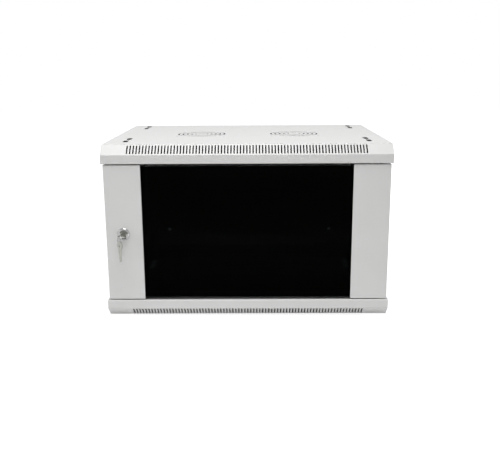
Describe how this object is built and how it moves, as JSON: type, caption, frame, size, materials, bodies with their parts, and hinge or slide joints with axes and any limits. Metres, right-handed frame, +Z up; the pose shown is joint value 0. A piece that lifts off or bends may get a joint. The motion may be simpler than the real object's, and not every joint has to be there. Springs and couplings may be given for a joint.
{
  "type": "wall mount network cabinet",
  "caption": "Shallow wall mount rack cabinet with a tinted glass door on steel stiles, keyed lock, vented bevelled covers, tilt-out sides and sliding 19 inch rails.",
  "frame": {"origin": "centre of the wall-hole rectangle, in the rear plane at mid-height", "axes": "+X to the right seen from the front, along the width; +Y out of the back towards the wall; +Z up"},
  "size_m": [0.6, 0.4796, 0.37],
  "materials": {
    "grey_powder_coat": "light grey powder coat, low gloss",
    "tinted_glass": "dark tinted tempered glass, polished edges",
    "foam_tape": "black foam mounting tape",
    "black_rubber": "black rubber, matt",
    "nylon": "natural nylon",
    "chrome": "bright chrome plate",
    "nickel": "nickel plate, slightly yellow",
    "spring_steel": "bright spring steel",
    "zinc_casting": "zinc casting",
    "brass": "brass",
    "zinc_plated_steel": "zinc-plated steel"
  },
  "bodies": {
    "case": {"top_cover": "grey_powder_coat", "bottom_cover": "grey_powder_coat", "rear_panel": "grey_powder_coat", "rear_entry_plate": "grey_powder_coat", "floor_entry_plate": "grey_powder_coat", "cable_entry_screws": "zinc_plated_steel", "cover_screws": "zinc_plated_steel", "front_post_right": "grey_powder_coat", "front_post_left": "grey_powder_coat", "door_bumpers": "black_rubber", "depth_bracket_upper_right": "zinc_plated_steel", "depth_bracket_upper_left": "zinc_plated_steel", "depth_bracket_lower_right": "zinc_plated_steel", "depth_bracket_lower_left": "zinc_plated_steel", "bracket_screws": "zinc_plated_steel", "hinge_bush_upper": "nylon", "hinge_pin_lower": "zinc_plated_steel", "hinge_washer": "nylon", "earth_stud": "brass", "earth_nut": "brass"},
    "rail_left": {"rack_rail_left": "zinc_plated_steel", "rail_screws_left": "zinc_plated_steel", "rail_nuts_left": "zinc_plated_steel"},
    "rail_right": {"rack_rail_right": "zinc_plated_steel", "rail_screws_right": "zinc_plated_steel", "rail_nuts_right": "zinc_plated_steel"},
    "door": {"door_stile_left": "grey_powder_coat", "door_stile_right": "grey_powder_coat", "door_glass": "tinted_glass", "glass_tape_left": "foam_tape", "glass_tape_right": "foam_tape", "glass_clamps": "zinc_plated_steel", "glass_clamp_pads": "black_rubber", "glass_clamp_nuts": "zinc_plated_steel", "hinge_bush_door_top": "nylon", "hinge_bush_door_bottom": "nylon", "hinge_bracket": "zinc_plated_steel", "hinge_spring": "spring_steel", "lock_body": "chrome", "lock_nut": "zinc_plated_steel"},
    "hinge_pin": {"hinge_pin_upper": "zinc_plated_steel", "hinge_clip": "spring_steel"},
    "lock_plug": {"lock_plug": "nickel", "lock_cam": "zinc_plated_steel", "lock_cam_screw": "zinc_plated_steel"},
    "key": {"key": "nickel"},
    "key_ring": {"key_ring": "spring_steel"},
    "spare_key": {"spare_key": "nickel"},
    "side_panel_left": {"side_panel_left": "grey_powder_coat", "side_latch_housing_left": "zinc_casting"},
    "side_latch_left": {"side_latch_knob_left": "chrome", "side_latch_cam_left": "zinc_plated_steel", "side_latch_screw_left": "zinc_plated_steel"},
    "side_panel_right": {"side_panel_right": "grey_powder_coat", "side_latch_housing_right": "zinc_casting"},
    "side_latch_right": {"side_latch_knob_right": "chrome", "side_latch_cam_right": "zinc_plated_steel", "side_latch_screw_right": "zinc_plated_steel"}
  },
  "joints": [
    {"name": "door_swing", "type": "hinge", "parent": "case", "child": "door", "pos_m": [0.287, -0.437, 0], "axis": [0, 0, 1], "range_deg": [0, 180]},
    {"name": "hinge_pin_retract", "type": "slide", "parent": "door", "child": "hinge_pin", "axis": [0, 0, -1], "range_m": [0, 0.008], "stiffness_N_per_m": 1200, "springref_m": -0.004, "deforming": ["hinge_spring"]},
    {"name": "lock_turn", "type": "hinge", "parent": "door", "child": "lock_plug", "pos_m": [-0.2592, -0.4515, -0.001], "axis": [0, 1, 0], "range_deg": [0, 90]},
    {"name": "key_pull", "type": "slide", "parent": "lock_plug", "child": "key", "axis": [0, -1, 0], "range_m": [0, 0.024]},
    {"name": "ring_swing", "type": "hinge", "parent": "key", "child": "key_ring", "pos_m": [-0.26344, -0.47199, -0.001], "axis": [-0.7071, -0.7071, 0], "range_deg": [-10, 10]},
    {"name": "spare_key_swing", "type": "hinge", "parent": "key_ring", "child": "spare_key", "pos_m": [-0.26344, -0.47199, -0.01705], "axis": [-0.7071, -0.7071, 0], "range_deg": [-25, 25]},
    {"name": "rail_depth_left", "type": "slide", "parent": "case", "child": "rail_left", "axis": [0, 1, 0], "range_m": [-0.035, 0.28]},
    {"name": "rail_depth_right", "type": "slide", "parent": "case", "child": "rail_right", "axis": [0, 1, 0], "range_m": [-0.035, 0.28]},
    {"name": "side_panel_tilt_left", "type": "hinge", "parent": "case", "child": "side_panel_left", "pos_m": [-0.294, -0.2115, -0.1471], "axis": [0, -1, 0], "range_deg": [0, 20]},
    {"name": "side_latch_turn_left", "type": "hinge", "parent": "side_panel_left", "child": "side_latch_left", "pos_m": [-0.2985, -0.2115, 0.1317], "axis": [1, 0, 0], "range_deg": [0, 90]},
    {"name": "side_panel_tilt_right", "type": "hinge", "parent": "case", "child": "side_panel_right", "pos_m": [0.294, -0.2115, -0.1471], "axis": [0, 1, 0], "range_deg": [0, 20]},
    {"name": "side_latch_turn_right", "type": "hinge", "parent": "side_panel_right", "child": "side_latch_right", "pos_m": [0.2985, -0.2115, 0.1317], "axis": [1, 0, 0], "range_deg": [0, 90]}
  ]
}
